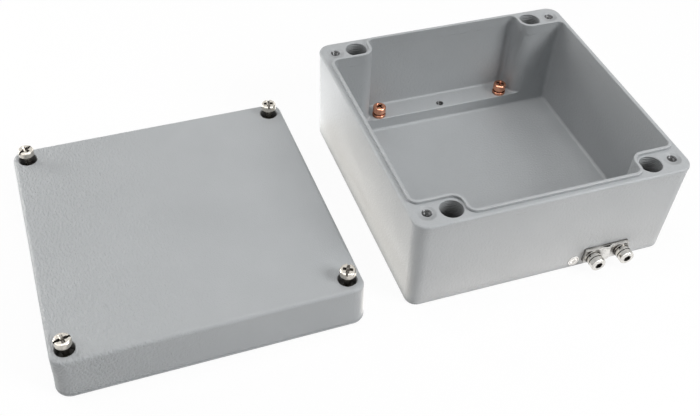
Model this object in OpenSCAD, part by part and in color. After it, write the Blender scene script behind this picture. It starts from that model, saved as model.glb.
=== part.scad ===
// Die cast aluminium box, 160 x 160 mm, standing open.
// The base stands at the origin with its underside at z = 0 and the face that carries
// the outer earth terminal toward -Y. The lid lies face up beside it, toward -X, with
// its four captive screws pushed up because their tips stand on the same floor.

/* [Case] */
// Length of the closed case at the parting line, along X
case_length = 160; // [130:1:240]
// Width of the closed case at the parting line, along Y
case_width = 160; // [130:1:240]
// Height of the base, from its underside to the land that the lid sits on
base_height = 61.3; // [45:0.1:110]
// Height of the lid
lid_height = 25.8; // [22:0.1:32]
// Radius of the upright corners
corner_radius = 8; // [6:0.5:10]
// Radius along the foot of the base
foot_radius = 1.2; // [0.5:0.1:2]
// Radius around the top of the lid
lid_edge_radius = 2.2; // [1:0.1:3]
// Lean of the outer walls of the base, in degrees
base_draft = 1.3; // [0.5:0.1:2]
// Lean of the outer walls of the lid, in degrees
lid_draft = 1.7; // [0.5:0.1:2]

/* [Rim and seal] */
// Height of the bead around the parting line
bead_height = 1.9; // [1.6:0.1:2.5]
// How far the bead stands proud of the wall
bead_proud = 0.28; // [0.15:0.01:0.5]
// Radius that takes the bead round onto the land
rim_radius = 1.4; // [0.5:0.1:1.5]
// Width of the land outside the tongue
land_width = 2.85; // [2.4:0.05:4]
// Width of the raised tongue
tongue_width = 1.7; // [1.2:0.1:2.5]
// Height of the tongue above the land
tongue_height = 1.8; // [1:0.1:2.2]
// Broken edge along the tongue and the lid's lip
edge_break = 0.3; // [0.1:0.05:0.4]
// Depth of the groove in the lid
groove_depth = 3.2; // [2.8:0.1:4]
// Room at each side of the tongue in the groove
groove_clearance = 0.2; // [0.1:0.05:0.3]
// Thickness of the lip inside the groove
lip_width = 1.6; // [1:0.1:2]
// How much the gasket is squeezed when the lid is down
gasket_squeeze = 0.3; // [0.1:0.05:0.5]

/* [Inside] */
// Thickness of the floor of the base
floor_thickness = 4; // [3:0.5:6]
// Thickness of the top of the lid
lid_top_thickness = 4; // [3:0.1:5]
// Lean of the inner walls, in degrees
inner_draft = 1.1; // [0.5:0.1:1.3]
// Fillet around the floor
floor_fillet = 2; // [1:0.1:2]
// Fillet at the foot of the walls above the ledges
ledge_fillet = 1.5; // [0.5:0.1:2]
// Fillet around the inside of the lid's top
lid_fillet = 1; // [0.5:0.1:1]
// Radius of the cavity's own upright corners
cavity_corner_radius = 3.6; // [3.4:0.1:5]
// Radius of the screw bosses' free corner
boss_corner_radius = 7.35; // [5:0.05:8]
// Height of the ledges between the bosses, above the underside
ledge_height = 12.4; // [11:0.1:16]
// Radius along the front edge of the ledges
ledge_edge_radius = 0.7; // [0.3:0.1:1]

/* [Corner bosses] */
// Distance of a mounting well's axis from the end face of the case
well_inset_x = 22.2; // [21:0.1:25]
// Distance of a mounting well's axis from the side face of the case
well_inset_y = 9.5; // [8.8:0.1:12]
// Diameter of a mounting well at the land
well_diameter = 12.6; // [11:0.1:13]
// Lean of the well's wall, in degrees
well_draft = 0.7; // [0.3:0.1:1]
// Height of the bottom of a well above the underside
well_floor = 8; // [5:0.5:12]
// Diameter of the hole for a mounting bolt
mounting_hole_diameter = 6.6; // [5:0.1:7]
// Metal between a well and the end of its boss
boss_end_wall = 2.5; // [2:0.1:4]
// Metal between a well and the long face of its boss
boss_face_wall = 2.75; // [2.5:0.05:5]

/* [Lid screws] */
// Distance of a lid screw's axis from the end face of the case
lid_screw_inset_x = 8.9; // [8.5:0.1:9.5]
// Distance of a lid screw's axis from the side face of the case
lid_screw_inset_y = 10; // [8.5:0.1:10.5]
// Diameter of the lid screws' thread, half way up its ridges
lid_thread_diameter = 4.5; // [4.4:0.05:4.6]
// Depth of the tapped holes in the base
lid_tap_depth = 20; // [16:1:30]
// Length of a lid screw under its head
lid_screw_length = 30; // [26:1:34]
// Threaded length at the tip of a lid screw
lid_thread_length = 12; // [8:1:13]
// Diameter of the neck that lets a lid screw slide in the lid
lid_neck_diameter = 3.9; // [3.4:0.1:4]
// Diameter of a lid screw's head
lid_head_diameter = 8.6; // [8:0.1:9.8]
// Height of a lid screw's head
lid_head_height = 3.3; // [3:0.1:4]
// Diameter of the well that takes the head in the lid
head_well_diameter = 10; // [10:0.1:11]
// Depth of that well
head_well_depth = 6.6; // [5:0.1:8]
// Thickness of the tapped web that keeps a lid screw in the lid
keeper_thickness = 4; // [3:0.5:4.5]
// Core diameter of that web's tapped hole
keeper_bore_diameter = 4.2; // [4.1:0.05:4.3]
// Diameter of the passage under that web
keeper_passage_diameter = 6.5; // [5.5:0.1:7]

/* [Lid as it lies] */
// Distance from the middle of the base to the middle of the lid, along X
lid_away_x = 183.2; // [175:0.1:260]
// How far the lid lies forward of the base
lid_forward_y = 1.1; // [-20:0.1:20]
// How far the lid is turned, in degrees
lid_turn = 0.6; // [-2:0.1:2]

/* [Ledge holes and inner earth screws] */
// Distance of the ledge holes from the side face of the case
ledge_hole_inset = 15.3; // [14:0.1:16]
// Distance of the outer holes of a ledge from the end faces of its bosses
ledge_hole_from_boss = 7; // [6:0.5:12]
// Diameter of the thread in the ledge holes, half way up its ridges
ledge_thread_diameter = 3.55; // [3.4:0.05:3.6]
// Depth of the ledge holes
ledge_tap_depth = 8; // [5:0.5:8.5]
// Diameter of an inner earth screw's head
copper_head_diameter = 8.2; // [7:0.1:8.5]
// Height of an inner earth screw's head
copper_head_height = 3.8; // [2.4:0.1:4]
// Length of an inner earth screw under its head
copper_screw_length = 9; // [7:0.5:9.5]
// Diameter of the cup washer under an inner earth screw
cup_washer_diameter = 8.4; // [7.5:0.1:10]
// Height of that cup washer
cup_washer_height = 1.8; // [1:0.1:2]
// Diameter of the spring washer of an inner earth screw
inner_spring_diameter = 6.8; // [6:0.1:7]
// Height of that spring washer
inner_spring_height = 1.5; // [0.8:0.1:1.8]

/* [Outer earth terminal] */
// Distance of the terminal's middle from the middle of the case
terminal_x = 39.2; // [30:0.1:42]
// Height of the terminal's middle above the underside
terminal_z = 9; // [6.5:0.1:9.5]
// Length of the two plates
plate_length = 27; // [25:0.1:32]
// Height of the two plates
plate_height = 9.2; // [8.8:0.1:11]
// Thickness of each plate
plate_thickness = 1.2; // [1:0.1:2]
// Distance between the two screws
terminal_spacing = 18; // [17.5:0.1:20]
// Width of the channel that holds the earth wire
wire_channel_width = 6; // [5:0.1:7]
// Depth of that channel
wire_channel_depth = 1.2; // [1:0.1:2]
// Diameter of the flat washers
flat_washer_diameter = 9.2; // [8.8:0.1:10]
// Thickness of the flat washers
flat_washer_thickness = 1; // [0.6:0.1:1.2]
// Diameter of the spring washers
outer_spring_diameter = 7.9; // [7.6:0.1:9]
// Height of the spring washers
outer_spring_height = 1.4; // [0.8:0.1:1.5]
// Diameter of the two cap screws' thread, half way up its ridges
cap_thread_diameter = 4.5; // [4.4:0.05:4.6]
// Length of a cap screw under its head
cap_screw_length = 16; // [12:1:18]
// Diameter of a cap screw's head
cap_head_diameter = 8.5; // [8.2:0.1:8.8]
// Height of a cap screw's head
cap_head_height = 5.2; // [4.5:0.1:5.5]
// Height of the turned groove around a cap screw's head
cap_groove_height = 1.2; // [0.8:0.1:1.6]
// Width of that groove
cap_groove_width = 0.6; // [0.3:0.1:0.8]
// Depth of that groove
cap_groove_depth = 0.4; // [0.2:0.1:0.6]
// Width across the flats of the hexagon socket
cap_socket_width = 4; // [3.5:0.1:4.5]
// Gap between the round earth sign and the end of the plates
sign_gap = 1.9; // [0.5:0.1:6]
// Height of the earth sign's middle above the underside
sign_z = 5.5; // [5:0.1:9]
// Diameter of the earth sign
sign_diameter = 6.6; // [6:0.1:7.5]
// Thickness of the earth sign
sign_thickness = 0.4; // [0.2:0.1:1]

/* [Hidden] */
$fn = 64;

cast_grey = [0.68, 0.69, 0.69];
copper = [0.78, 0.42, 0.26];
nickel = [0.86, 0.85, 0.83];
rubber_black = [0.12, 0.12, 0.12];
sign_white = [0.93, 0.93, 0.92];

half_length = case_length / 2;
half_width = case_width / 2;
// How far a round is set out past the faces it joins, as a share of its radius
bite = 0.004;
// Reach and height that are sure to pass through the whole case
reach = case_length + case_width;
tall = base_height + lid_height + tongue_height + 10;

// The inner face of the tongue is the mouth of the cavity
wall_at_mouth = land_width + tongue_width;
mouth_x = half_length - wall_at_mouth;
mouth_y = half_width - wall_at_mouth;
// Inner faces of the corner bosses
well_radius = well_diameter / 2;
boss_end_x = half_length - well_inset_x - well_radius - boss_end_wall;
boss_face_y = half_width - well_inset_y - well_radius - boss_face_wall;
// How far the boss corner's filling reaches back into the open cavity
filling_overlap = 4;

// The lid's hollow starts inside its lip
lid_hollow_offset = -groove_clearance - lip_width;
lid_seat = lid_height - head_well_depth;
gasket_height = groove_depth - tongue_height + gasket_squeeze;
gasket_side_gap = 0.05;

screw_x = half_length - lid_screw_inset_x;
screw_y = half_width - lid_screw_inset_y;
ledge_hole_x = boss_end_x - ledge_hole_from_boss;
ledge_hole_y = half_width - ledge_hole_inset;
// Room around a shank in its tapped hole
shank_gap = 0.03;
// Which way each corner lies, and how far its screw's slot is turned
corners = [[-1, -1], [1, -1], [-1, 1], [1, 1]];
slot_turns = [12, 62, 35, 78];

// Outer face of the base at a height, measured in from the case's nominal face
function face_inset(z) = bead_proud + (base_height - bead_height - z) * tan(base_draft);

// In the sections, x is measured out from the nominal wall and y away from the parting line

// Waste beyond a quarter round whose faces lie at x = r and y = r. The round crosses
// both faces at a few degrees, so its ends are clean edges and not slivers.
module edge_waste(r) {
  translate([bite * r, bite * r])
    difference() {
      square(r + 1);
      circle(r = r);
    }
}

// Outside of a half of the case, from the parting line (y = 0) to its far face
module shell_section(height, draft, far_radius) {
  function wall(y) = -bead_proud - (y - bead_height) * tan(draft);
  difference() {
    union() {
      polygon([
        [-reach, 0], [-bead_proud, 0], [-bead_proud, bead_height],
        [wall(height), height], [-reach, height]
      ]);
      translate([-reach, 0]) square([reach, bead_height]);
    }
    translate([-rim_radius, rim_radius]) mirror([0, 1]) edge_waste(rim_radius);
    translate([wall(height - far_radius) - far_radius, height - far_radius])
      edge_waste(far_radius);
  }
}

// Inside of a half: a drafted wall with a broken edge at its mouth and a fillet at its bottom
module hollow_section(depth, fillet, mouth = 0) {
  function wall(y) = -(y + mouth - edge_break) * tan(inner_draft);
  difference() {
    polygon([
      [-reach, depth], [wall(depth), depth], [0, edge_break - mouth],
      [edge_break, -mouth], [edge_break, -mouth - 1], [-reach, -mouth - 1]
    ]);
    translate([wall(depth - fillet) - fillet, depth - fillet]) edge_waste(fillet);
  }
}

// Upper part of the tongue, with its outer edge broken
module tongue_section() {
  polygon([
    [-reach, -1], [0, -1], [0, tongue_height - edge_break],
    [-edge_break, tongue_height], [-reach, tongue_height]
  ]);
}

// Turns a section over, so that it hangs down from the land of the base
module hung_from_land() {
  translate([0, base_height]) mirror([0, 1]) children();
}

// A section and its mirror image at half the width, drawn out along Y
module slab(half, run) {
  rotate([90, 0, 0])
    linear_extrude(height = run, center = true)
      for (side = [0, 1])
        mirror([side, 0])
          intersection() {
            translate([half, 0]) children();
            translate([-1, -3]) square([half + 4, tall]);
          }
}

// A section turned round an upright corner
module turned_corner(r) {
  rotate_extrude()
    intersection() {
      translate([r, 0]) children();
      translate([0, -3]) square([r + 3, tall]);
    }
}

// A rectangle with rounded corners whose walls have the given section
module rounded_block(half_x, half_y, r) {
  slab(half_x, 2 * (half_y - r)) children();
  rotate([0, 0, 90]) slab(half_y, 2 * (half_x - r)) children();
  for (c = corners)
    translate([c[0] * (half_x - r), c[1] * (half_y - r), 0]) turned_corner(r) children();
}

// What lies between the two arms of the cavity at a boss's round corner
module boss_corner_filling(offset) {
  centre_x = boss_end_x + boss_corner_radius;
  centre_y = boss_face_y + boss_corner_radius;
  side = boss_corner_radius + filling_overlap;
  for (c = corners)
    mirror([c[0] < 0 ? 1 : 0, 0, 0]) mirror([0, c[1] < 0 ? 1 : 0, 0])
      difference() {
        translate([centre_x - side, centre_y - side, -2]) cube([side, side, tall - 4]);
        translate([centre_x, centre_y, 0])
          rotate_extrude()
            difference() {
              translate([0, -4]) square([2 * side, tall + 4]);
              translate([boss_corner_radius - offset, 0]) mirror([1, 0]) children();
            }
      }
}

// The arm of the cavity that runs from end to end, between the bosses' long faces
module long_arm(offset) {
  rounded_block(mouth_x + offset, boss_face_y + offset, cavity_corner_radius + offset)
    children();
}

// The arm that runs from side to side, between the bosses' ends, and the round corners
module cross_arm(offset) {
  rounded_block(boss_end_x + offset, mouth_y + offset, cavity_corner_radius + offset)
    children();
  boss_corner_filling(offset) children();
}

// A rectangle with rounded corners, in the plane
module rounded_rectangle(half_x, half_y, r) {
  square([2 * half_x, 2 * (half_y - r)], center = true);
  square([2 * (half_x - r), 2 * half_y], center = true);
  for (c = corners) translate([c[0] * (half_x - r), c[1] * (half_y - r)]) circle(r = r);
}

// The line that the seal follows, offset out from the mouth of the cavity
module seal_outline(offset) {
  rounded_rectangle(mouth_x + offset, boss_face_y + offset, cavity_corner_radius + offset);
  rounded_rectangle(boss_end_x + offset, mouth_y + offset, cavity_corner_radius + offset);
  side = boss_corner_radius + filling_overlap;
  for (c = corners)
    mirror([c[0] < 0 ? 1 : 0, 0]) mirror([0, c[1] < 0 ? 1 : 0])
      translate([boss_end_x + boss_corner_radius, boss_face_y + boss_corner_radius])
        difference() {
          translate([-side, -side]) square(side);
          circle(r = boss_corner_radius - offset);
        }
}

// A flat band along the seal between two offsets
module seal_band(inner, outer, height) {
  linear_extrude(height = height)
    difference() {
      seal_outline(outer);
      seal_outline(inner);
    }
}

// Stepped hole for a mounting bolt, from the land down through the underside
module mounting_well() {
  depth = base_height - well_floor;
  translate([0, 0, well_floor])
    cylinder(h = depth, r1 = well_radius - depth * tan(well_draft), r2 = well_radius);
  translate([0, 0, base_height - edge_break])
    cylinder(h = edge_break + 1, r1 = well_radius, r2 = well_radius + edge_break + 1);
  translate([0, 0, -1]) cylinder(h = well_floor + 2, d = mounting_hole_diameter);
}

// Blind tapped hole opening upward at z = 0, with a drill point and a lead-in
module tapped_hole(d, depth, lead_in = 0.4) {
  translate([0, 0, -depth]) cylinder(h = depth + 1, d = d);
  translate([0, 0, -depth - d * 0.3]) cylinder(h = d * 0.3, d1 = 0.2, d2 = d);
  translate([0, 0, -lead_in]) cylinder(h = lead_in + 1, d1 = d, d2 = d + 2 * (lead_in + 1));
}

// Rounds the front edge of both ledges, between the bosses
module ledge_edge_rounding() {
  inset = (base_height + tongue_height - edge_break - ledge_height) * tan(inner_draft);
  edge_y = boss_face_y - inset;
  for (side = [0, 1])
    mirror([0, side, 0])
      translate([0, edge_y + ledge_edge_radius, ledge_height - ledge_edge_radius])
        rotate([90, 0, -90])
          linear_extrude(height = 2 * (boss_end_x - ledge_fillet), center = true)
            edge_waste(ledge_edge_radius);
}

module base_cavity() {
  mouth = tongue_height;
  long_arm(0)
    hung_from_land() hollow_section(base_height - floor_thickness, floor_fillet, mouth);
  cross_arm(0)
    hung_from_land() hollow_section(base_height - ledge_height, ledge_fillet, mouth);
}

module base_casting() {
  color(cast_grey)
    difference() {
      union() {
        rounded_block(half_length, half_width, corner_radius)
          hung_from_land() shell_section(base_height, base_draft, foot_radius);
        translate([0, 0, base_height]) {
          long_arm(tongue_width) tongue_section();
          cross_arm(tongue_width) tongue_section();
        }
      }
      base_cavity();
      ledge_edge_rounding();
      for (c = corners) {
        translate([c[0] * (half_length - well_inset_x), c[1] * (half_width - well_inset_y), 0])
          mounting_well();
        translate([c[0] * screw_x, c[1] * screw_y, base_height])
          tapped_hole(lid_thread_diameter, lid_tap_depth, 0.45);
      }
      for (side = [-1, 1], place = [-1, 0, 1])
        translate([place * ledge_hole_x, side * ledge_hole_y, ledge_height])
          tapped_hole(ledge_thread_diameter, ledge_tap_depth, 0.3);
      for (side = [-1, 1])
        at_terminal(side * terminal_spacing / 2)
          tapped_hole(cap_thread_diameter + 2 * shank_gap, cap_screw_length - cap_grip + 2);
    }
}

// Moves a piece from its place over the case's middle to where the lid lies
module where_lid_lies() {
  translate([-lid_away_x, -lid_forward_y, 0]) rotate([0, 0, lid_turn]) children();
}

// Stepped hole that keeps a lid screw: head well, tapped web, open passage
module lid_screw_hole() {
  translate([0, 0, lid_seat]) cylinder(h = head_well_depth + 1, d = head_well_diameter);
  translate([0, 0, lid_height - edge_break])
    cylinder(h = edge_break + 1, d1 = head_well_diameter,
             d2 = head_well_diameter + 2 * (edge_break + 1));
  cylinder(h = lid_seat + 1, d = keeper_bore_diameter);
  translate([0, 0, -1])
    cylinder(h = lid_seat - keeper_thickness + 1, d = keeper_passage_diameter);
}

module lid_casting() {
  depth = lid_height - lid_top_thickness;
  color(cast_grey)
    where_lid_lies()
      difference() {
        rounded_block(half_length, half_width, corner_radius)
          shell_section(lid_height, lid_draft, lid_edge_radius);
        long_arm(lid_hollow_offset) hollow_section(depth, lid_fillet);
        cross_arm(lid_hollow_offset) hollow_section(depth, lid_fillet);
        translate([0, 0, -1])
          seal_band(-groove_clearance, tongue_width + groove_clearance, groove_depth + 1);
        for (c = corners) translate([c[0] * screw_x, c[1] * screw_y, 0]) lid_screw_hole();
      }
}

module lid_gasket() {
  color(rubber_black)
    where_lid_lies()
      translate([0, 0, groove_depth - gasket_height])
        seal_band(gasket_side_gap - groove_clearance,
                  tongue_width + groove_clearance - gasket_side_gap, gasket_height);
}

// Cross recess cut down from z = 0: four wings that taper into the head
module cross_recess(span, wing, depth) {
  intersection() {
    union()
      for (a = [0, 90])
        rotate([0, 0, a]) translate([-span, -wing / 2, -depth]) cube([2 * span, wing, depth + 1]);
    translate([0, 0, -depth]) cylinder(h = depth + 0.5, r1 = span * 0.3, r2 = span * 1.08);
  }
}

// A turned head: flat underside at z = 0, cylindrical edge, round shoulder
module pan_head(d, height, shoulder) {
  rotate_extrude()
    difference() {
      square([d / 2, height]);
      translate([d / 2 - shoulder, height - shoulder]) edge_waste(shoulder);
    }
}

// Captive lid screw with its tip on the floor
module lid_screw(corner, turn) {
  color(nickel)
    where_lid_lies()
      translate([corner[0] * screw_x, corner[1] * screw_y, 0])
        rotate([0, 0, turn]) {
          difference() {
            translate([0, 0, lid_screw_length]) pan_head(lid_head_diameter, lid_head_height, 1);
            translate([0, 0, lid_screw_length + lid_head_height]) {
              translate([-lid_head_diameter, -0.6, -1.3]) cube([2 * lid_head_diameter, 1.2, 3]);
              cross_recess(2.9, 1.9, 2.4);
            }
          }
          cylinder(h = lid_screw_length + 0.5, d = lid_neck_diameter);
          cylinder(h = 0.6, d1 = lid_thread_diameter - 1.2, d2 = lid_thread_diameter);
          translate([0, 0, 0.6])
            cylinder(h = lid_thread_length - 0.6, d = lid_thread_diameter);
        }
}

module lid_screw_front_left() { lid_screw(corners[0], slot_turns[0]); }
module lid_screw_front_right() { lid_screw(corners[1], slot_turns[1]); }
module lid_screw_back_left() { lid_screw(corners[2], slot_turns[2]); }
module lid_screw_back_right() { lid_screw(corners[3], slot_turns[3]); }

// Stands a piece on the back ledge at the left (-1) or right (1) earth screw
module on_back_ledge(side, lift = 0) {
  translate([side * ledge_hole_x, ledge_hole_y, ledge_height + lift]) children();
}

// Spring washer: a flat ring cut through on one side
module spring_washer(outer, inner, height, slit_turn) {
  difference() {
    cylinder(h = height, d = outer);
    translate([0, 0, -1]) cylinder(h = height + 2, d = inner);
    rotate([0, 0, slit_turn])
      translate([0, -0.35, -1]) cube([outer, 0.7, height + 2]);
  }
}

module inner_earth_screw(side, turn) {
  color(copper)
    on_back_ledge(side, cup_washer_height + inner_spring_height)
      rotate([0, 0, turn]) {
        difference() {
          pan_head(copper_head_diameter, copper_head_height, 1.2);
          translate([0, 0, copper_head_height]) cross_recess(2.6, 1.1, 2);
        }
        translate([0, 0, -copper_screw_length])
          cylinder(h = copper_screw_length + 0.5, d = ledge_thread_diameter - 2 * shank_gap);
      }
}

// Cup washer: a dished ring whose rim is turned up a little
module inner_cup_washer(side) {
  rim = cup_washer_height;
  hole = ledge_thread_diameter / 2 + 0.25;
  color(copper)
    on_back_ledge(side)
      rotate_extrude()
        difference() {
          translate([hole, 0]) square([cup_washer_diameter / 2 - hole, rim]);
          translate([cup_washer_diameter / 2 - 0.5, rim - 0.5]) edge_waste(0.5);
        }
}

module inner_spring_washer(side) {
  color(copper)
    on_back_ledge(side, cup_washer_height)
      spring_washer(inner_spring_diameter, ledge_thread_diameter + 0.5, inner_spring_height,
                    side < 0 ? 200 : 310);
}

module inner_earth_screw_left() { inner_earth_screw(-1, 20); }
module inner_earth_screw_right() { inner_earth_screw(1, 52); }
module inner_spring_washer_left() { inner_spring_washer(-1); }
module inner_spring_washer_right() { inner_spring_washer(1); }
module inner_cup_washer_left() { inner_cup_washer(-1); }
module inner_cup_washer_right() { inner_cup_washer(1); }

cap_grip = 2 * plate_thickness + flat_washer_thickness + outer_spring_height;
clearance_hole = cap_thread_diameter + 1;

// Frame on the leaning front face: x along the case, y up it, z straight out of it
module on_front_face(x, z) {
  translate([x, -half_width + face_inset(z), z]) rotate([90 + base_draft, 0, 0]) children();
}

// The same, level with the terminal's middle
module at_terminal(offset = 0, out = 0) {
  on_front_face(terminal_x, terminal_z) translate([offset, 0, out]) children();
}

// Draws a plate's outline, seen from above, up to the plate's height
module upright_plate() {
  rotate([90, 0, 0]) linear_extrude(height = plate_height, center = true) children();
}

module plate_holes() {
  for (side = [-1, 1])
    translate([side * terminal_spacing / 2, 0, -1])
      cylinder(h = 4 * plate_thickness + 2, d = clearance_hole);
}

module outer_earth_back_plate() {
  color(nickel)
    at_terminal()
      difference() {
        upright_plate()
          translate([-plate_length / 2, 0]) square([plate_length, plate_thickness]);
        plate_holes();
      }
}

// The plate is pressed out into a channel across its middle, where the wire lies
module outer_earth_clamp_plate() {
  half = plate_length / 2;
  mouth = wire_channel_width / 2;
  crest = wire_channel_width * 0.12;
  run = mouth - crest;
  // Keeps the sheet's thickness along the sloping sides
  slope = atan(wire_channel_depth / run);
  shift = plate_thickness * tan(slope / 2);
  color(nickel)
    at_terminal(0, plate_thickness)
      difference() {
        upright_plate()
          polygon([
            [-half, 0], [-mouth, 0], [-crest, wire_channel_depth],
            [crest, wire_channel_depth], [mouth, 0], [half, 0],
            [half, plate_thickness], [mouth + shift, plate_thickness],
            [crest + shift, plate_thickness + wire_channel_depth],
            [-crest - shift, plate_thickness + wire_channel_depth],
            [-mouth - shift, plate_thickness], [-half, plate_thickness]
          ]);
        plate_holes();
      }
}

module outer_earth_screw(side, turn) {
  color(nickel)
    at_terminal(side * terminal_spacing / 2, cap_grip)
      rotate([0, 0, turn]) {
        difference() {
          pan_head(cap_head_diameter, cap_head_height, 0.7);
          rotate_extrude()
            translate([cap_head_diameter / 2 - cap_groove_depth, cap_groove_height])
              square([cap_groove_depth + 1, cap_groove_width]);
          translate([0, 0, cap_head_height - 2.6])
            cylinder(h = 3, d = cap_socket_width / cos(30), $fn = 6);
        }
        translate([0, 0, -cap_screw_length])
          cylinder(h = cap_screw_length + 0.5, d = cap_thread_diameter);
      }
}

module outer_flat_washer(side) {
  color(nickel)
    at_terminal(side * terminal_spacing / 2, 2 * plate_thickness)
      difference() {
        cylinder(h = flat_washer_thickness, d = flat_washer_diameter);
        translate([0, 0, -1]) cylinder(h = flat_washer_thickness + 2, d = clearance_hole);
      }
}

module outer_spring_washer(side) {
  color(nickel)
    at_terminal(side * terminal_spacing / 2, 2 * plate_thickness + flat_washer_thickness)
      spring_washer(outer_spring_diameter, clearance_hole, outer_spring_height,
                    side < 0 ? 140 : 125);
}

module outer_earth_screw_left() { outer_earth_screw(-1, 10); }
module outer_earth_screw_right() { outer_earth_screw(1, 25); }
module outer_spring_washer_left() { outer_spring_washer(-1); }
module outer_spring_washer_right() { outer_spring_washer(1); }
module outer_flat_washer_left() { outer_flat_washer(-1); }
module outer_flat_washer_right() { outer_flat_washer(1); }

module earth_sign_disc() {
  color(sign_white)
    on_front_face(terminal_x - plate_length / 2 - sign_gap - sign_diameter / 2, sign_z)
      cylinder(h = sign_thickness, d = sign_diameter);
}

base_casting();
lid_casting();
lid_gasket();
lid_screw_front_left();
lid_screw_front_right();
lid_screw_back_left();
lid_screw_back_right();
inner_earth_screw_left();
inner_earth_screw_right();
inner_spring_washer_left();
inner_spring_washer_right();
inner_cup_washer_left();
inner_cup_washer_right();
outer_earth_back_plate();
outer_earth_clamp_plate();
outer_earth_screw_left();
outer_earth_screw_right();
outer_spring_washer_left();
outer_spring_washer_right();
outer_flat_washer_left();
outer_flat_washer_right();
earth_sign_disc();
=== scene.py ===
# %% [markdown]
# # A die cast aluminium box, standing open
#
# The box is two castings: a deep base and a shallow lid. In the picture the lid lies face
# up beside the base, its four captive screws pushed up because their tips stand on the
# table. Two copper earth screws sit on a ledge inside the base, and an outer earth
# terminal with a round earth sign is screwed low onto the front face.
#
# The solids come from the construction model. This lesson gives them their finishes, adds
# the screw threads and the earth sign, and sets up the camera and the light.

# %% Load the frame
import math

import bmesh
import bpy
from mathutils import Matrix, Vector


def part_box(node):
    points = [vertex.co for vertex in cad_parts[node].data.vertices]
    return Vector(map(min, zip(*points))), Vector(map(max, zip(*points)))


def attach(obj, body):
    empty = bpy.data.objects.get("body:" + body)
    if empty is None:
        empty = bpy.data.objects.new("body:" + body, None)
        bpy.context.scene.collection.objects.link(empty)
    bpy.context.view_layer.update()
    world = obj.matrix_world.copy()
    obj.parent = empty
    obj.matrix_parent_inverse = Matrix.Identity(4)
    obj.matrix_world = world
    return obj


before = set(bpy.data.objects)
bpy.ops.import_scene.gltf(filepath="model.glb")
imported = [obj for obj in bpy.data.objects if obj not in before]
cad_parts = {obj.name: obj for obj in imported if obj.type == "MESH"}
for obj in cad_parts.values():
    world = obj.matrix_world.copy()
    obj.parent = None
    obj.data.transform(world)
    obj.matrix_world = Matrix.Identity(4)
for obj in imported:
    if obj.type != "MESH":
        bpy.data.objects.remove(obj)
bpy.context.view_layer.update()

MM = 0.001

# %% [markdown]
# ## The camera
#
# The picture was taken from above the left front corner. A camera that was fitted to the
# rim and the corners of the box gives its direction, its distance and the point where the
# optical axis meets the picture. That point isn't quite the middle, because the picture
# was cropped, so the camera gets a small shift.

# %% Place the camera
PHOTO_WIDTH, PHOTO_HEIGHT = 700, 416      # pixels
FOCAL_LENGTH = 932.9                      # pixels
AXIS_POINT = (343.7, 238.1)               # pixels from the left and from the top
CAMERA_AZIMUTH = math.radians(-21.702)
CAMERA_ELEVATION = math.radians(46.38)
CAMERA_ROLL = math.radians(3.399)
LOOKED_AT = Vector((-105.16, -46.28, 30.0)) * MM
CAMERA_DISTANCE = 491.44 * MM
SENSOR_WIDTH = 36.0

backward = Vector((
    math.sin(CAMERA_AZIMUTH) * math.cos(CAMERA_ELEVATION),
    -math.cos(CAMERA_AZIMUTH) * math.cos(CAMERA_ELEVATION),
    math.sin(CAMERA_ELEVATION)))
level_right = Vector((0, 0, 1)).cross(backward).normalized()
level_up = backward.cross(level_right)
right = math.cos(CAMERA_ROLL) * level_right + math.sin(CAMERA_ROLL) * level_up
up = backward.cross(right)

lens = bpy.data.cameras.new("camera")
lens.sensor_width = SENSOR_WIDTH
lens.lens = FOCAL_LENGTH / PHOTO_WIDTH * SENSOR_WIDTH
lens.shift_x = (PHOTO_WIDTH / 2 - AXIS_POINT[0]) / PHOTO_WIDTH
lens.shift_y = (AXIS_POINT[1] - PHOTO_HEIGHT / 2) / PHOTO_WIDTH
lens.clip_start = 0.01                    # metres
camera = bpy.data.objects.new("camera", lens)
bpy.context.collection.objects.link(camera)
camera.matrix_world = Matrix.Translation(LOOKED_AT + backward * CAMERA_DISTANCE) @ (
    Matrix((right, up, backward)).transposed().to_4x4())
bpy.context.scene.camera = camera
print("lens %.2f mm, shift %.4f %.4f" % (lens.lens, lens.shift_x, lens.shift_y))

# %% [markdown]
# ## Colours and nodes
#
# Colours are written as sRGB hex values, as a paint program shows them, and Blender wants
# them linear. A second small function adds a shader node with its settings, its plain
# inputs and its links in one call, which keeps the recipes short.

# %% Helpers for finishes
def linear(hex_colour):
    """An sRGB hex colour as linear red, green, blue and alpha."""
    parts = [int(hex_colour[i:i + 2], 16) / 255 for i in (1, 3, 5)]
    return [p / 12.92 if p <= 0.04045 else ((p + 0.055) / 1.055) ** 2.4
            for p in parts] + [1.0]


def add_node(tree, kind, inputs=None, **settings):
    """Adds a node; an input is a plain value or another node's output to link from."""
    node = tree.nodes.new(kind)
    for name, value in settings.items():
        setattr(node, name, value)
    for name, value in (inputs or {}).items():
        if isinstance(value, bpy.types.NodeSocket):
            tree.links.new(value, node.inputs[name])
        else:
            node.inputs[name].default_value = value
    return node


def new_finish(name, colour, metallic, roughness):
    """A material with one shader and its plain starting values."""
    finish = bpy.data.materials.new(name)
    finish.use_nodes = True
    tree = finish.node_tree
    shader = tree.nodes["Principled BSDF"]
    shader.inputs["Base Color"].default_value = linear(colour)
    shader.inputs["Metallic"].default_value = metallic
    shader.inputs["Roughness"].default_value = roughness
    return finish, tree, shader


def per_metre(size_mm):
    """The scale of a pattern whose features are that many millimetres apart."""
    return 1 / (size_mm * MM)


NOISE_LOW, NOISE_HIGH = 0.3, 0.7      # a noise seldom leaves this range
print("#808080 is %.3f in linear light" % linear("#808080")[0])

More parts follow.
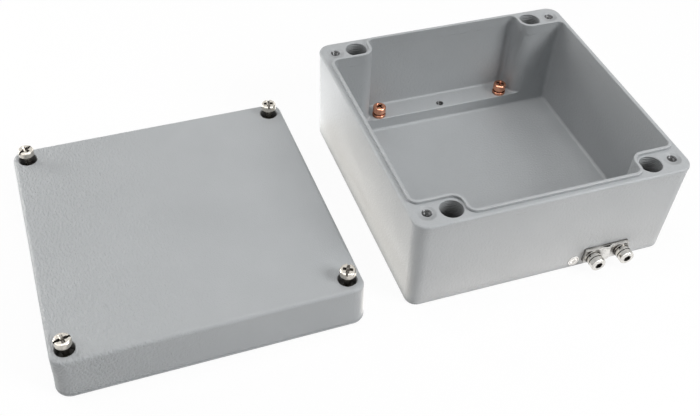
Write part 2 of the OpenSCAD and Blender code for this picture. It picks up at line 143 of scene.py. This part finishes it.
# %% [markdown]
# ## Powder coated aluminium
#
# Both castings are die cast aluminium, shot blasted and then powder coated: a light grey
# polyester powder, sprayed on and stoved. The coat gives an even, half matt grey with a
# soft pebbling a little over a millimetre across and a finer tooth on top, which catch the
# light where it falls at a low angle. Its tone changes only slightly over a few centimetres.
# On the lid the powder lay thicker: its pebbles are taller and a little drawn out from
# front to back, most of all at the lid's left side, and they fade out toward its middle.

# %% Powder coat
COAT_LIGHT, COAT_DARK = "#AAADAF", "#A5A8AA"
COAT_ROUGHNESS = 0.42
CLOUD = 38                            # mm, slow changes in tone
TOOTH, TOOTH_DEPTH = 0.55, 0.13       # mm, the finest grain of the coat


def powder_coat(name, pebble_mm, depth_mm, stretch=(1, 1, 1)):
    """The coat of a casting; returns the finish and the node that gives its pebbles."""
    finish, tree, shader = new_finish(name, COAT_LIGHT, 0.0, COAT_ROUGHNESS)
    place = add_node(tree, "ShaderNodeTexCoord").outputs["Object"]
    clouds = add_node(tree, "ShaderNodeTexNoise",
                      {"Vector": place, "Scale": per_metre(CLOUD), "Detail": 3.0})
    tone = add_node(tree, "ShaderNodeMapRange",
                    {"Value": clouds.outputs["Fac"], "From Min": NOISE_LOW,
                     "From Max": NOISE_HIGH})
    colour = add_node(tree, "ShaderNodeMix", data_type="RGBA")
    tree.links.new(tone.outputs["Result"], colour.inputs["Factor"])
    colour.inputs["A"].default_value = linear(COAT_DARK)
    colour.inputs["B"].default_value = linear(COAT_LIGHT)
    tree.links.new(colour.outputs["Result"], shader.inputs["Base Color"])
    drawn_out = add_node(tree, "ShaderNodeMapping", {"Vector": place, "Scale": stretch})
    pebbles = add_node(tree, "ShaderNodeTexNoise",
                       {"Vector": drawn_out.outputs["Vector"],
                        "Scale": per_metre(pebble_mm), "Detail": 1.0})
    tooth = add_node(tree, "ShaderNodeTexNoise",
                     {"Vector": place, "Scale": per_metre(TOOTH), "Detail": 1.0})
    coarse = add_node(tree, "ShaderNodeBump",
                      {"Strength": 1.0, "Distance": depth_mm * MM,
                       "Height": pebbles.outputs["Fac"]})
    fine = add_node(tree, "ShaderNodeBump",
                    {"Strength": 1.0, "Distance": TOOTH_DEPTH * MM,
                     "Height": tooth.outputs["Fac"], "Normal": coarse.outputs["Normal"]})
    tree.links.new(fine.outputs["Normal"], shader.inputs["Normal"])
    return finish, coarse


lid_metal, lid_relief = powder_coat("powder_coated_lid", 1.25, 0.85, (1, 0.55, 1))
base_metal, base_relief = powder_coat("powder_coated_base", 1.3, 0.2)
print("made", base_metal.name, "and", lid_metal.name)

# %% [markdown]
# ## Where the castings aren't coated
#
# The tapped holes were cut after coating, so cut aluminium shows in them, darkened as
# painted shade of the hole. Powder hardly settles inside the deep mounting wells, nor in
# the wells of the lid screws' heads, so the coat thins out down their walls and the raw
# casting shows with fine rings; its colour, darker further down, is painted shade. Round
# each tapped hole of the land the metal is sunk into a shallow dish, which is drawn as
# relief only. All of this lies symmetrically on a casting, so the masks work on the
# distance from one place in coordinates that are folded at the casting's middle.

# %% Helpers for masks
def mask_math(tree, first, second, operation):
    """A sum on one or two values; a mask is 1 inside and 0 outside."""
    return add_node(tree, "ShaderNodeMath", {0: first, 1: second},
                    operation=operation).outputs["Value"]


def folded_place(tree, middle_mm=(0, 0, 0), turn=0.0):
    """Height, and coordinates in plan, measured from a casting's middle and folded."""
    place = add_node(tree, "ShaderNodeTexCoord").outputs["Object"]
    own = add_node(tree, "ShaderNodeMapping",
                   {"Vector": place, "Location": Vector(middle_mm) * MM,
                    "Rotation": (0, 0, turn)}, vector_type="TEXTURE").outputs["Vector"]
    height = add_node(tree, "ShaderNodeSeparateXYZ", {0: own}).outputs["Z"]
    folded = add_node(tree, "ShaderNodeVectorMath", {0: own}, operation="ABSOLUTE")
    plan = add_node(tree, "ShaderNodeVectorMath",
                    {0: folded.outputs["Vector"], 1: (1, 1, 0)}, operation="MULTIPLY")
    return height, plan.outputs["Vector"]


def distance_from(tree, plan, place_mm):
    """Distance from an upright axis, in metres."""
    return add_node(tree, "ShaderNodeVectorMath",
                    {0: plan, 1: (place_mm[0] * MM, place_mm[1] * MM, 0)},
                    operation="DISTANCE").outputs["Value"]


def show_metal(tree, mask, colour, roughness, metallic=1.0):
    """Mixes bare metal into a coat where the mask is 1."""
    shader = tree.nodes["Principled BSDF"]
    for name, value, kind in (("Base Color", linear(colour), "RGBA"),
                              ("Roughness", roughness, "FLOAT"), ("Metallic", metallic, "FLOAT")):
        socket = shader.inputs[name]
        mix = add_node(tree, "ShaderNodeMix", data_type=kind)
        tree.links.new(mask, mix.inputs["Factor"])
        if socket.is_linked:
            tree.links.new(socket.links[0].from_socket, mix.inputs["A"])
        else:
            mix.inputs["A"].default_value = socket.default_value
        mix.inputs["B"].default_value = value
        tree.links.new(mix.outputs["Result"], socket)


# The raw casting's dark colour is painted shade of the well; its roughness and metalness are its
# own.
SHADED_RAW_CASTING, RAW_ROUGHNESS, RAW_METALLIC = "#4A4946", 0.5, 0.3
RING, RING_DEPTH = 1.2, 0.25          # mm, from ring to ring, and their relief
WAVE_LENGTH = math.tau / 20           # of a wave texture whose scale is 1


def ringed_well(tree, plan, height, place_mm, radius_mm, foot_mm, bare_mm):
    """Raw casting with fine rings in a well, over its foot; returns its relief.

    Between the two heights of bare_mm the coat thins out and painted shade deepens.
    """
    inside = mask_math(tree, distance_from(tree, plan, place_mm), radius_mm * MM, "LESS_THAN")
    inside = mask_math(tree, inside,
                       mask_math(tree, height, foot_mm * MM, "GREATER_THAN"), "MULTIPLY")
    uncoated_and_shaded = add_node(tree, "ShaderNodeMapRange",
                        {"Value": height, "From Min": bare_mm[0] * MM,
                         "From Max": bare_mm[1] * MM})
    # Painted shade: the raw casting's colour darkens down the well's wall.
    show_metal(tree, mask_math(tree, inside, uncoated_and_shaded.outputs["Result"], "MULTIPLY"),
               SHADED_RAW_CASTING, RAW_ROUGHNESS, RAW_METALLIC)
    place = add_node(tree, "ShaderNodeTexCoord").outputs["Object"]
    rings = add_node(tree, "ShaderNodeTexWave",
                     {"Vector": place, "Scale": WAVE_LENGTH * per_metre(RING)},
                     bands_direction="Z")
    return add_node(tree, "ShaderNodeBump",
                    {"Strength": 1.0, "Distance": RING_DEPTH * MM,
                     "Height": mask_math(tree, inside, rings.outputs["Fac"], "MULTIPLY")})


print("rings every %.1f mm" % RING)

# %% [markdown]
# The base has four mounting wells, four tapped holes in the land of its rim, each in its
# dish, and six tapped holes in its two ledges. Thanks to the folded coordinates one place
# stands for all the holes of a kind. The masks stop above the underside, so that the coat
# there stays whole.

# %% Bare metal and painted shade on the base
LAND_Z, LEDGE_Z = 61.3, 12.4                          # mm
LID_HOLE, WELL = (71.1, 70.0), (57.8, 70.5)           # mm
LEDGE_HOLES = ((42, 64.7), (0, 64.7))                 # mm
LID_HOLE_CUT, LEDGE_HOLE_CUT, WELL_RADIUS = 2.72, 2.35, 6.5     # mm
UNDERSIDE = 0.5                                       # mm, where the masks stop
# The cut metal's dark colour is painted shade inside the tapped holes; their threads stay
# lighter.
SHADED_CUT_METAL, CUT_ROUGHNESS = "#666768", 0.4
DISH_FROM, DISH_TO, DISH_DEPTH = 2.3, 5.6, 1.6        # mm, two radii and the relief
DISHES_ABOVE = LAND_Z - 5                             # mm, so that the ledges have none

base_tree = base_metal.node_tree
height, plan = folded_place(base_tree)
from_lid_hole = distance_from(base_tree, plan, LID_HOLE)
cut = mask_math(base_tree, from_lid_hole, LID_HOLE_CUT * MM, "LESS_THAN")
for hole in LEDGE_HOLES:
    near = mask_math(base_tree, distance_from(base_tree, plan, hole), LEDGE_HOLE_CUT * MM,
                     "LESS_THAN")
    cut = mask_math(base_tree, cut, near, "MAXIMUM")
cut = mask_math(base_tree, cut,
                mask_math(base_tree, height, UNDERSIDE * MM, "GREATER_THAN"), "MULTIPLY")
show_metal(base_tree, cut, SHADED_CUT_METAL, CUT_ROUGHNESS)
coat_thinning_into_shade = (LAND_Z - 1, LAND_Z - 13)              # mm, whole coat, and bare metal in full painted shade
ringed = ringed_well(base_tree, plan, height, WELL, WELL_RADIUS, UNDERSIDE, coat_thinning_into_shade)

dish = add_node(base_tree, "ShaderNodeMapRange",
                {"Value": from_lid_hole, "From Min": DISH_FROM * MM,
                 "From Max": DISH_TO * MM},
                interpolation_type="SMOOTHSTEP")
on_land = mask_math(base_tree, height, DISHES_ABOVE * MM, "GREATER_THAN")
dished = add_node(base_tree, "ShaderNodeBump",
                  {"Strength": 1.0, "Distance": DISH_DEPTH * MM,
                   "Height": mask_math(base_tree, dish.outputs["Result"], on_land, "MULTIPLY"),
                   "Normal": ringed.outputs["Normal"]})
base_tree.links.new(dished.outputs["Normal"], base_relief.inputs["Normal"])
print("bare metal in %d kinds of holes" % (2 + len(LEDGE_HOLES)))

# %% [markdown]
# The lid lies a little turned, so its masks first go to coordinates of its own. The
# pebbles are strongest over the left quarter of the lid and all but gone past its middle.

# %% Bare metal and painted shade in the lid's wells, and its coarser left side
LID_MIDDLE, LID_TURN, LID_TOP_Z = (-183.2, -1.1, 0), math.radians(0.6), 25.8     # mm
LID_WELL_RADIUS = 5.15                                # mm
COARSE_UP_TO, SMOOTH_FROM = -55, 5                    # mm, from the lid's middle
SMOOTH_STRENGTH = 0.06                                # of the pebbles' full relief

lid_tree = lid_metal.node_tree
height, plan = folded_place(lid_tree, LID_MIDDLE, LID_TURN)
coat_thinning_into_shade = (LID_TOP_Z + 1, LID_TOP_Z - 6)         # mm, whole coat, and bare metal in full painted shade
ringed = ringed_well(lid_tree, plan, height, LID_HOLE, LID_WELL_RADIUS, UNDERSIDE,
                     coat_thinning_into_shade)
lid_tree.links.new(ringed.outputs["Normal"], lid_relief.inputs["Normal"])

across = add_node(lid_tree, "ShaderNodeSeparateXYZ",
                  {0: add_node(lid_tree, "ShaderNodeTexCoord").outputs["Object"]})
coarseness = add_node(lid_tree, "ShaderNodeMapRange",
                      {"Value": across.outputs["X"],
                       "From Min": (LID_MIDDLE[0] + COARSE_UP_TO) * MM,
                       "From Max": (LID_MIDDLE[0] + SMOOTH_FROM) * MM,
                       "To Min": 1.0, "To Max": SMOOTH_STRENGTH})
lid_tree.links.new(coarseness.outputs["Result"], lid_relief.inputs["Strength"])
print("rings in the lid's wells, pebbles that fade to the right")

# %% [markdown]
# ## Steel, copper, rubber and the sign
#
# The lid screws are nickel plated steel: bright, a little warm, with soft scuffs. The outer
# terminal is stainless steel, its plates rolled and brushed along their length. The inner
# earth screws and their washers are copper, which dulls unevenly in air. On all of them
# the recesses, the corners and the gaps between the washers are darkened as painted shade,
# and faint smudges darken their open faces. The gasket is black foam rubber. The earth
# sign is a white enamelled disc.

# %% Metals of the screws and plates
SHADE_REACH = 2.4             # mm, how wide a corner the painted shade fills
SMUDGE = 0.8                  # how far the scuffs' pattern darkens an open face
FULLY_DARK, UNDARKENED = 0.1, 0.62      # openness, less smudges, at which a face is all dark, and all metal
DULL, BRIGHT = 0.1, 0.06      # how far the roughness rises and falls with the scuffs


def scuffed_metal(name, colour, roughness, scuff_mm, depth_mm, shade_and_smudge, stretch=(1, 1, 1)):
    """Bare or plated metal with fine scuffs and smudges, and painted shade in its corners."""
    finish, tree, shader = new_finish(name, colour, 1.0, roughness)
    place = add_node(tree, "ShaderNodeTexCoord").outputs["Object"]
    stretched = add_node(tree, "ShaderNodeMapping", {"Vector": place, "Scale": stretch})
    scuffs = add_node(tree, "ShaderNodeTexNoise",
                      {"Vector": stretched.outputs["Vector"], "Scale": per_metre(scuff_mm),
                       "Detail": 3.0})
    # Ambient occlusion finds hemmed-in faces; the dark colour laid there is painted shade.
    openness = add_node(tree, "ShaderNodeAmbientOcclusion", {"Distance": SHADE_REACH * MM},
                        samples=8)
    smudge = mask_math(tree, scuffs.outputs["Fac"], SMUDGE, "MULTIPLY")
    undarkened_share = add_node(tree, "ShaderNodeMapRange",
                     {"Value": mask_math(tree, openness.outputs["AO"], smudge, "SUBTRACT"),
                      "From Min": FULLY_DARK, "From Max": UNDARKENED})
    tint = add_node(tree, "ShaderNodeMix", data_type="RGBA")
    tree.links.new(undarkened_share.outputs["Result"], tint.inputs["Factor"])
    tint.inputs["A"].default_value = linear(shade_and_smudge)
    tint.inputs["B"].default_value = linear(colour)
    tree.links.new(tint.outputs["Result"], shader.inputs["Base Color"])
    shine = add_node(tree, "ShaderNodeMapRange",
                     {"Value": scuffs.outputs["Fac"], "From Min": NOISE_LOW,
                      "From Max": NOISE_HIGH, "To Min": roughness - BRIGHT,
                      "To Max": roughness + DULL})
    tree.links.new(shine.outputs["Result"], shader.inputs["Roughness"])
    relief = add_node(tree, "ShaderNodeBump",
                      {"Strength": 0.4, "Distance": depth_mm * MM,
                       "Height": scuffs.outputs["Fac"]})
    tree.links.new(relief.outputs["Normal"], shader.inputs["Normal"])
    return finish


# The last colour of each finish is its painted shade in recesses and corners, also used for
# smudges.
nickel_plate = scuffed_metal("nickel_plated_steel", "#CFCAC1", 0.2, 1.2, 0.02, "#37332E")
stainless = scuffed_metal("bright_stainless", "#E8E5E0", 0.2, 0.8, 0.02, "#2F2B28")
brushed_plate = scuffed_metal("brushed_stainless_plate", "#ECEAE6", 0.3, 0.5, 0.02, "#3A3632",
                              (0.08, 1, 1))
copper = scuffed_metal("bright_copper", "#EDAA8B", 0.16, 1.5, 0.03, "#5E2A1A")
cut_aluminium = scuffed_metal("cut_aluminium", "#A6A7A8", 0.3, 1.0, 0.005, "#161616")
print("made", nickel_plate.name, stainless.name, brushed_plate.name, copper.name,
      cut_aluminium.name)

# %% [markdown]
# Rubber and enamel aren't metals, and show their colour wherever light falls on them. The
# foam of the gasket is rough and open. Enamel is smooth, with the faint waves that it keeps
# from flowing out in the oven.

# %% Rubber and enamel
def soft_grain(name, colour, roughness, grain_mm, depth_mm):
    """A plain dielectric with an even grain."""
    finish, tree, shader = new_finish(name, colour, 0.0, roughness)
    place = add_node(tree, "ShaderNodeTexCoord").outputs["Object"]
    grain = add_node(tree, "ShaderNodeTexNoise",
                     {"Vector": place, "Scale": per_metre(grain_mm), "Detail": 2.0})
    relief = add_node(tree, "ShaderNodeBump",
                      {"Strength": 0.5, "Distance": depth_mm * MM,
                       "Height": grain.outputs["Fac"]})
    tree.links.new(relief.outputs["Normal"], shader.inputs["Normal"])
    return finish


foam_rubber = soft_grain("foam_rubber", "#232323", 0.75, 0.4, 0.08)
white_enamel = soft_grain("white_enamel", "#F5F5F3", 0.35, 0.7, 0.005)
grey_enamel = soft_grain("grey_enamel", "#9A9A98", 0.4, 0.7, 0.005)
print("made", foam_rubber.name, white_enamel.name, grey_enamel.name)

# %% [markdown]
# ## Dressing the solids
#
# Every solid of the construction model keeps its shape and gets its finish in its material
# slots. Solids made of the same stock share one finish.

# %% Give each solid its finish
FINISH_OF = {
    "base_casting": base_metal,
    "lid_casting": lid_metal,
    "lid_gasket": foam_rubber,
    "lid_screw": nickel_plate,
    "inner_": copper,
    "outer_earth_back_plate": brushed_plate,
    "outer_earth_clamp_plate": brushed_plate,
    "outer_": stainless,
    "earth_sign_disc": white_enamel,
}

for name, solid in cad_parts.items():
    finish = next(f for start, f in FINISH_OF.items() if name.startswith(start))
    for slot in solid.material_slots:
        slot.material = finish
print("dressed", len(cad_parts), "solids")

# %% [markdown]
# ## Screw threads
#
# A thread is one ridge with a slanting section, wound round a shank or round the wall of a
# tapped hole. The construction model draws both as plain cylinders at half the height of
# the ridge, which is what a shop drawing does too. The ridges could be faked with a striped
# bump, but their outline would stay straight, so here each one is a real helix: a small
# section is carried round in steps, rising by the pitch in each turn, and it fades into the
# cylinder at both ends.

# %% Wind a thread
STEPS_IN_A_TURN = 32
HALF_FOOT, HALF_CREST = 0.42, 0.1     # of the pitch
FADED = 0.02                          # of the height, where the ridge begins and ends


def wind_thread(name, centre, start_z, turns, pitch, foot_radius, crest_radius):
    """A ridge from foot to crest, wound upward around a vertical axis; all in mm."""
    half_foot, half_crest = pitch * HALF_FOOT, pitch * HALF_CREST
    mesh = bmesh.new()
    rings = []
    steps = int(turns * STEPS_IN_A_TURN)
    for i in range(steps + 1):
        angle = math.tau * i / STEPS_IN_A_TURN
        z = start_z + pitch * i / STEPS_IN_A_TURN
        steps_from_end = min(i, steps - i)
        fade = min(1, FADED + steps_from_end / STEPS_IN_A_TURN)
        crest = foot_radius + (crest_radius - foot_radius) * fade
        section = [(foot_radius, -half_foot), (crest, -half_crest),
                   (crest, half_crest), (foot_radius, half_foot)]
        rings.append([mesh.verts.new(((centre[0] + r * math.cos(angle)) * MM,
                                      (centre[1] + r * math.sin(angle)) * MM,
                                      (z + dz) * MM)) for r, dz in section])
    for low, high in zip(rings, rings[1:]):
        for a in range(4):
            b = (a + 1) % 4
            mesh.faces.new((low[a], low[b], high[b], high[a]))
    mesh.faces.new(rings[0])
    mesh.faces.new(rings[-1][::-1])
    bmesh.ops.recalc_face_normals(mesh, faces=mesh.faces)
    data = bpy.data.meshes.new(name)
    mesh.to_mesh(data)
    mesh.free()
    thread = bpy.data.objects.new(name, data)
    bpy.context.collection.objects.link(thread)
    return thread


# %% [markdown]
# The captive lid screws are M5 and threaded only at their tips. The rest of the shank is
# thinner, so that the screw can slide in the lid and still not fall out.

# %% Threads of the lid screws
M5_PITCH, M5_CREST, M5_FOOT = 0.8, 2.5, 2.2           # mm, the last two are radii
TIP_CHAMFER, TIP_TURNS = 0.9, 12.8                    # mm, and turns of thread

for corner in ("front_left", "front_right", "back_left", "back_right"):
    low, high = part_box("lid_screw_" + corner)
    middle = (low + high) / 2 / MM
    thread = wind_thread("thread_of_lid_screw_" + corner, middle, TIP_CHAMFER, TIP_TURNS,
                         M5_PITCH, M5_FOOT, M5_CREST)
    thread.data.materials.append(nickel_plate)
    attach(thread, "lid_screw_" + corner)
print("four threads on the lid screws")

# %% [markdown]
# In a tapped hole the ridge points inward: its foot lies in the wall and its crest closer to
# the middle. The holes in the land take the lid screws, so they have the same pitch. The
# ledges take M4 screws. Two of those six holes hold the copper earth screws, and the other
# four show their thread.

# %% Threads in the tapped holes
M5_WALL, M5_CORE = 2.3, 2.07                          # mm, radii
M4_PITCH, M4_WALL, M4_CORE = 0.7, 1.82, 1.62          # mm, the last two are radii
LAND_TURNS, LEDGE_TURNS, COUNTERSINK = 18, 9, 0.7     # turns, turns and mm

tapped_holes = [("lid_hole_%d" % i, (x * LID_HOLE[0], y * LID_HOLE[1]), LAND_Z, LAND_TURNS,
                 M5_PITCH, M5_WALL, M5_CORE)
                for i, (x, y) in enumerate(((-1, -1), (1, -1), (-1, 1), (1, 1)))]
tapped_holes += [("ledge_hole_%d" % i, place, LEDGE_Z, LEDGE_TURNS, M4_PITCH, M4_WALL, M4_CORE)
                 for i, place in enumerate(((-42, -64.7), (0, -64.7), (42, -64.7), (0, 64.7)))]
for name, centre, top, turns, pitch, wall, core in tapped_holes:
    start = top - COUNTERSINK - turns * pitch
    thread = wind_thread("thread_in_" + name, centre, start, turns, pitch, wall, core)
    thread.data.materials.append(cut_aluminium)
    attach(thread, "base")
print(len(tapped_holes), "threads in tapped holes")

# %% [markdown]
# ## The earth sign
#
# The disc beside the outer terminal carries the usual sign for an earth point: a stem that
# ends on three bars, each shorter than the one before, inside a ring. It is printed in grey
# enamel on the white disc. A print is a thin even layer, so the sign is a few flat shapes
# raised by a few hundredths of a millimetre, laid on the disc's own face.

# %% Print the earth sign
LAYER, LINE = 0.03, 0.42      # mm, thickness of the print and width of its lines
RING_RADIUS, RING_STEPS = 2.35, 48    # mm, inner radius of the ring round the sign


def bar(width, height, x, z):
    """Corners of a flat bar around a point, in mm."""
    return [(x - width / 2, z - height / 2), (x + width / 2, z - height / 2),
            (x + width / 2, z + height / 2), (x - width / 2, z + height / 2)]


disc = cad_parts["earth_sign_disc"]
disc_face = [f for f in disc.data.polygons if f.normal.y < -0.9]
disc_points = {i for f in disc_face for i in f.vertices}
disc_middle = sum((disc.data.vertices[i].co for i in disc_points), Vector()) / len(disc_points)
out_of_face = sum((f.normal * f.area for f in disc_face), Vector()).normalized()
along_face = Vector((1, 0, 0))
up_face = out_of_face.cross(along_face)

shapes = [bar(LINE, 1.47, 0, 0.995), bar(2.9, LINE, 0, 0.05), bar(1.9, LINE, 0, -0.75),
          bar(0.9, LINE, 0, -1.5)]
for i in range(RING_STEPS):
    a, b = (math.tau * k / RING_STEPS for k in (i, i + 1))
    shapes.append([(r * math.cos(t), r * math.sin(t))
                   for r, t in ((RING_RADIUS, a), (RING_RADIUS + LINE, a),
                                (RING_RADIUS + LINE, b), (RING_RADIUS, b))])
sign_mesh = bmesh.new()
for shape in shapes:
    corners = [sign_mesh.verts.new(disc_middle + along_face * x * MM + up_face * z * MM)
               for x, z in shape]
    sign_mesh.faces.new(corners)
bmesh.ops.remove_doubles(sign_mesh, verts=sign_mesh.verts, dist=0.001 * MM)
raised = bmesh.ops.extrude_face_region(sign_mesh, geom=sign_mesh.faces[:])
bmesh.ops.translate(sign_mesh, vec=out_of_face * LAYER * MM,
                    verts=[v for v in raised["geom"] if isinstance(v, bmesh.types.BMVert)])
bmesh.ops.recalc_face_normals(sign_mesh, faces=sign_mesh.faces)
sign_data = bpy.data.meshes.new("earth_sign_print")
sign_mesh.to_mesh(sign_data)
sign_mesh.free()
sign_data.materials.append(grey_enamel)
sign_print = bpy.data.objects.new("earth_sign_print", sign_data)
bpy.context.collection.objects.link(sign_print)
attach(sign_print, "base")

# %% [markdown]
# ## The world
#
# The picture has soft studio light and a pure white ground. White can come from a great
# deal of light, but that would bleach the box too. So the world is white only where the
# camera or a reflection looks straight at it, and gives no more than a trace of light to
# the surfaces themselves.

# %% World
WORLD_LIGHT = 0.02


def looked_at(tree):
    """1 for a ray of the camera, a reflection or a refraction, 0 for one that lights."""
    ray = add_node(tree, "ShaderNodeLightPath").outputs
    seen = mask_math(tree, ray["Is Camera Ray"], ray["Is Glossy Ray"], "MAXIMUM")
    return mask_math(tree, seen, ray["Is Transmission Ray"], "MAXIMUM")


world = bpy.data.worlds.new("studio")
world.use_nodes = True
bpy.context.scene.world = world
bpy.context.scene.view_settings.view_transform = "Standard"
sky = world.node_tree
sky.nodes.clear()
soft_light = add_node(sky, "ShaderNodeBackground",
                      {"Color": linear("#FFFFFF"), "Strength": WORLD_LIGHT})
white_ground = add_node(sky, "ShaderNodeBackground",
                        {"Color": linear("#FFFFFF"), "Strength": 1.0})
seen_or_lit = add_node(sky, "ShaderNodeMixShader",
                       {0: looked_at(sky), 1: soft_light.outputs["Background"],
                        2: white_ground.outputs["Background"]})
add_node(sky, "ShaderNodeOutputWorld", {"Surface": seen_or_lit.outputs["Shader"]})
print("the world lights at %.2f and shows at 1" % WORLD_LIGHT)

# %% [markdown]
# ## The floor
#
# The floor is one plain sheet of white paper, so wide that its edge is out of sight. It
# uses the same trick as the world. Near the box a small share of it stays ordinary paper,
# which keeps the box's soft shadow, and from half a metre out that share fades away. It
# lies a hair below the box, because two faces at the same height would flicker.

# %% Floor
FLOOR_HALF, FLOOR_Z = 30.0, -0.0002   # metres
GLOW_NEAR_BOX = 0.93                  # the rest is ordinary paper
FADE_FROM, FADE_TO = 0.5, 2.0         # metres from the box

floor_mesh = bpy.data.meshes.new("floor")
floor_mesh.from_pydata([(x * FLOOR_HALF, y * FLOOR_HALF, FLOOR_Z)
                        for x, y in ((-1, -1), (1, -1), (1, 1), (-1, 1))],
                       [], [(0, 1, 2, 3)])
floor = bpy.data.objects.new("floor", floor_mesh)
bpy.context.collection.objects.link(floor)
paper, paper_tree, paper_shader = new_finish("white_paper", "#F6F6F6", 0.0, 0.9)
white = add_node(paper_tree, "ShaderNodeEmission",
                 {"Color": linear("#FFFFFF"), "Strength": 1.0})
from_box = add_node(paper_tree, "ShaderNodeVectorMath",
                    {0: add_node(paper_tree, "ShaderNodeTexCoord").outputs["Object"]},
                    operation="LENGTH")
glow = add_node(paper_tree, "ShaderNodeMapRange",
                {"Value": from_box.outputs["Value"], "From Min": FADE_FROM,
                 "From Max": FADE_TO, "To Min": GLOW_NEAR_BOX, "To Max": 1.0})
share = mask_math(paper_tree, looked_at(paper_tree), glow.outputs["Result"], "MULTIPLY")
sheet = add_node(paper_tree, "ShaderNodeMixShader",
                 {0: share, 1: paper_shader.outputs["BSDF"], 2: white.outputs["Emission"]})
paper_tree.links.new(sheet.outputs["Shader"],
                     paper_tree.nodes["Material Output"].inputs["Surface"])
floor_mesh.materials.append(paper)
print("floor %.0f m wide" % (2 * FLOOR_HALF))

# %% [markdown]
# ## The lamps
#
# Each lamp was rendered alone, and the powers were then fitted together to the tones of
# the photograph. A large soft box hangs overhead and a strong one stands to the front
# right. Three weaker ones fill in from the left and from behind, and a small one high at
# the back skims over the pebbles of the lid.
#
# A brightly lit white table also throws light up onto the faces that stand close to it.
# Lamps that lie just over the floor and face up, the sheets of paper below, stand for that.
# The one before the base is kept out of reflections, where it would show as a white patch
# in the ends of the socket screws.
#
# Three powers are given. Left free, the fit all but switches off the small lamp at the
# back, and lights the paper behind the lid so strongly that the back faces glare. So the
# lamp is held up and the paper is held down, and the small paper behind the gap, held
# low too, makes up for a little of it.

# %% Lamps
MIDDLE = Vector((-90, 0, 20))         # mm, of the picture
FACING_UP = (0, 1, 0, 0)              # a quaternion: half a turn about the X axis


def soft_box(name, centre_mm, size_mm, watts, colour="#FFFFFF", faces_up=False,
             in_mirrors=True):
    """A rectangular soft box that faces the middle of the picture, or straight up."""
    lamp = bpy.data.lights.new(name, "AREA")
    lamp.shape = "RECTANGLE"
    lamp.size, lamp.size_y = size_mm[0] * MM, size_mm[1] * MM
    lamp.energy = watts
    lamp.color = linear(colour)[:3]
    box = bpy.data.objects.new(name, lamp)
    bpy.context.collection.objects.link(box)
    box.location = Vector(centre_mm) * MM
    box.visible_camera = False
    box.visible_glossy = in_mirrors
    box.rotation_mode = "QUATERNION"
    aim = (MIDDLE - Vector(centre_mm)).normalized()
    box.rotation_quaternion = FACING_UP if faces_up else aim.to_track_quat("-Z", "Y")


soft_box("overhead", (-90, 0, 1200), (900, 900), 7.16)
soft_box("front_right", (600, -700, 700), (500, 500), 8.24)
soft_box("left_high", (-900, 0, 900), (600, 600), 2.04, "#FFFCFC")
soft_box("back_right", (800, 800, 500), (600, 600), 1.03, "#FFFDFA")
soft_box("back_left_low", (-750, 450, 150), (400, 250), 3.02, "#FFFEFC")
soft_box("glint_on_the_lid", (-540, 750, 775), (200, 200), 1.17, "#FFFBF7")
soft_box("paper_behind_the_lid", (-180, 260, 0.3), (260, 260), 0.25, faces_up=True)
soft_box("paper_behind_the_gap", (-110, 110, 0.3), (60, 60), 0.022, faces_up=True)
soft_box("paper_in_the_gap", (-92, 10, 0.3), (20, 176), 0.0194, "#FFF7EB", faces_up=True)
soft_box("paper_before_the_base", (16, -114, 0.3), (178, 67), 0.0343, "#FFF3E9",
         faces_up=True, in_mirrors=False)
print("%d lamps" % len(bpy.data.lights))
